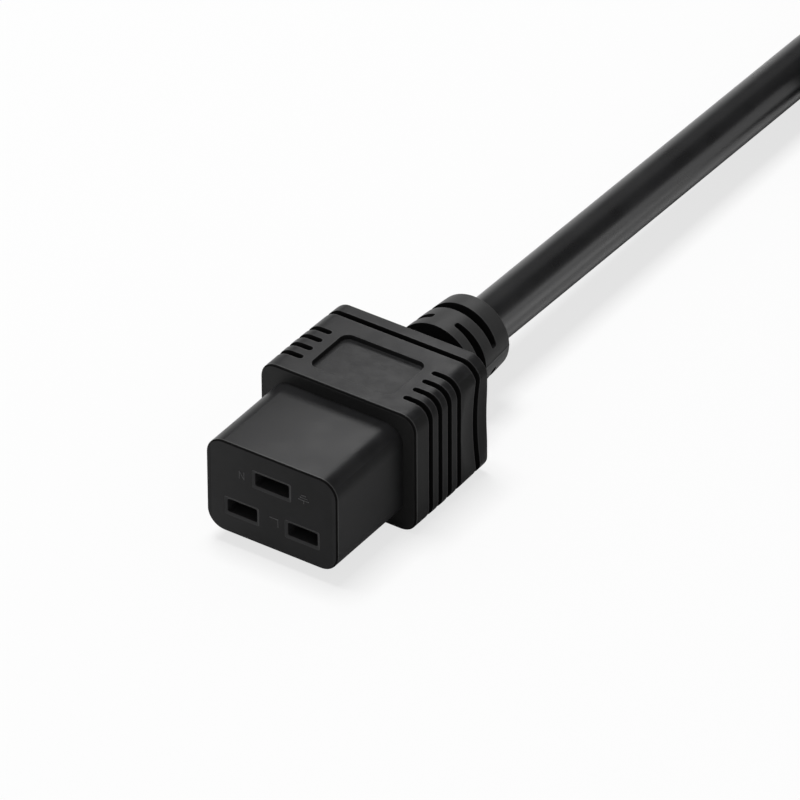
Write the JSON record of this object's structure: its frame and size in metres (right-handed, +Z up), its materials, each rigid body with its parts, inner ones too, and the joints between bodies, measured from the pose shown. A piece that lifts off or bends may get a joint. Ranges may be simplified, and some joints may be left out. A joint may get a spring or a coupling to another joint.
{
  "type": "c19 power connector",
  "caption": "Moulded three-pole power connector with a ribbed grip and a slotted strain relief, on a black lead that is coiled and ends in the matching plug.",
  "frame": {"origin": "on the ground, under the middle of the connector without its lead: half way between its mating face and the end of its strain relief", "axes": "+Y from the mating face towards the lead, +Z up from the ground that the grip lies on, +X to the right seen from behind the mating face"},
  "size_m": [0.1248, 0.2681, 0.0282],
  "materials": {
    "nose_plastic": "fine satin black, hard",
    "grip_vinyl": "satin black soft vinyl with a fine spark grain",
    "mould_plastic": "plain black, hidden",
    "cord_jacket": "smooth satin black flexible jacket",
    "contact_brass": "plain rolled strip",
    "pin_nickel": "nickel plate, lightly brushed",
    "copper_strand": "bare copper strand",
    "core_brown": "smooth",
    "core_blue": "smooth",
    "core_green_yellow": "smooth, two colours"
  },
  "bodies": {
    "root": {"cord_coil": "cord_jacket", "cord_run": "cord_jacket", "cord_tail": "cord_jacket", "earth_conductor": "copper_strand", "earth_contact": "contact_brass", "earth_insulation": "core_green_yellow", "grip_overmould": "grip_vinyl", "inner_mould": "mould_plastic", "line_conductor": "copper_strand", "line_contact": "contact_brass", "line_insulation": "core_brown", "neutral_conductor": "copper_strand", "neutral_contact": "contact_brass", "neutral_insulation": "core_blue", "nose_housing": "nose_plastic", "plug_earth_conductor": "copper_strand", "plug_earth_insulation": "core_green_yellow", "plug_earth_pin": "pin_nickel", "plug_grip": "grip_vinyl", "plug_inner_mould": "mould_plastic", "plug_line_conductor": "copper_strand", "plug_line_insulation": "core_brown", "plug_line_pin": "pin_nickel", "plug_neutral_conductor": "copper_strand", "plug_neutral_insulation": "core_blue", "plug_neutral_pin": "pin_nickel", "plug_shroud": "nose_plastic"}
  },
  "joints": []
}
